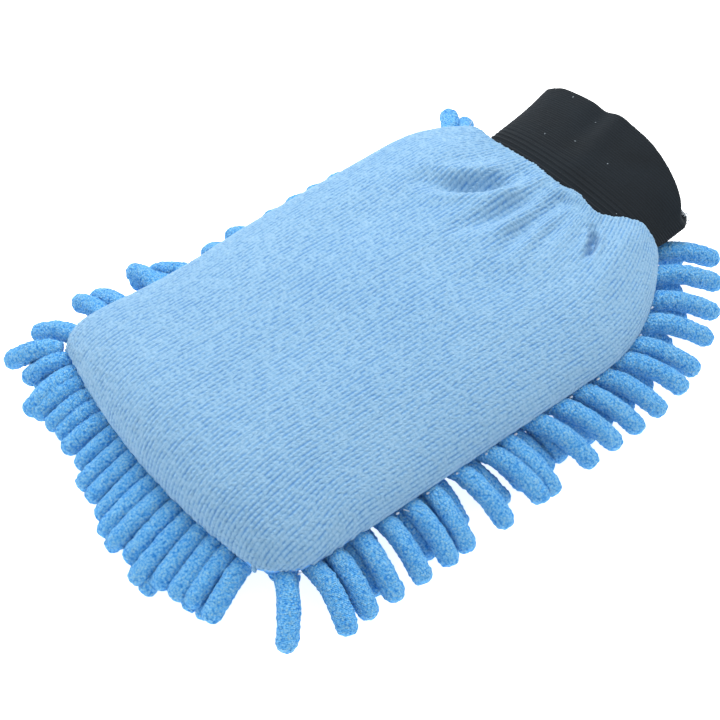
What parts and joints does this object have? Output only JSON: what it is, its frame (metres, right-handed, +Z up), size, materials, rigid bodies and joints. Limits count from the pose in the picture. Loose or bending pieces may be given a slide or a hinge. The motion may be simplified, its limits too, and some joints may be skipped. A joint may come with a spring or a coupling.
{
  "type": "chenille wash mitt",
  "caption": "Wash mitt with a ribbed terry back, a palm covered in chenille fingers and a dark elastic knit cuff.",
  "frame": {"origin": "middle of the bounding box's base, where the chenille palm lies on a surface", "axes": "+X from the finger end towards the cuff's mouth, +Z up through the terry back, +Y across the mitt"},
  "size_m": [0.316, 0.2236, 0.048],
  "materials": {
    "terry": "looped",
    "chenille": "fluffy",
    "lining": "matte",
    "cuff_knit": "matte",
    "seam_thread": "matte"
  },
  "bodies": {
    "root": {"back_panel": "terry", "back_lining": "lining", "palm_backing": "chenille", "palm_lining": "lining", "edge_seam_allowance": "seam_thread", "cuff": "cuff_knit", "cuff_join_seam": "seam_thread", "cuff_side_seam": "cuff_knit", "chenille_row_01": "chenille", "chenille_row_02": "chenille", "chenille_row_03": "chenille", "chenille_row_04": "chenille", "chenille_row_05": "chenille", "chenille_row_06": "chenille", "chenille_row_07": "chenille", "chenille_row_08": "chenille", "chenille_row_09": "chenille", "chenille_row_10": "chenille", "chenille_row_11": "chenille", "chenille_row_12": "chenille", "chenille_row_13": "chenille", "chenille_row_14": "chenille", "row_stitch_01": "seam_thread", "row_stitch_02": "seam_thread", "row_stitch_03": "seam_thread", "row_stitch_04": "seam_thread", "row_stitch_05": "seam_thread", "row_stitch_06": "seam_thread", "row_stitch_07": "seam_thread", "row_stitch_08": "seam_thread", "row_stitch_09": "seam_thread", "row_stitch_10": "seam_thread", "row_stitch_11": "seam_thread", "row_stitch_12": "seam_thread", "row_stitch_13": "seam_thread", "row_stitch_14": "seam_thread"}
  },
  "joints": []
}
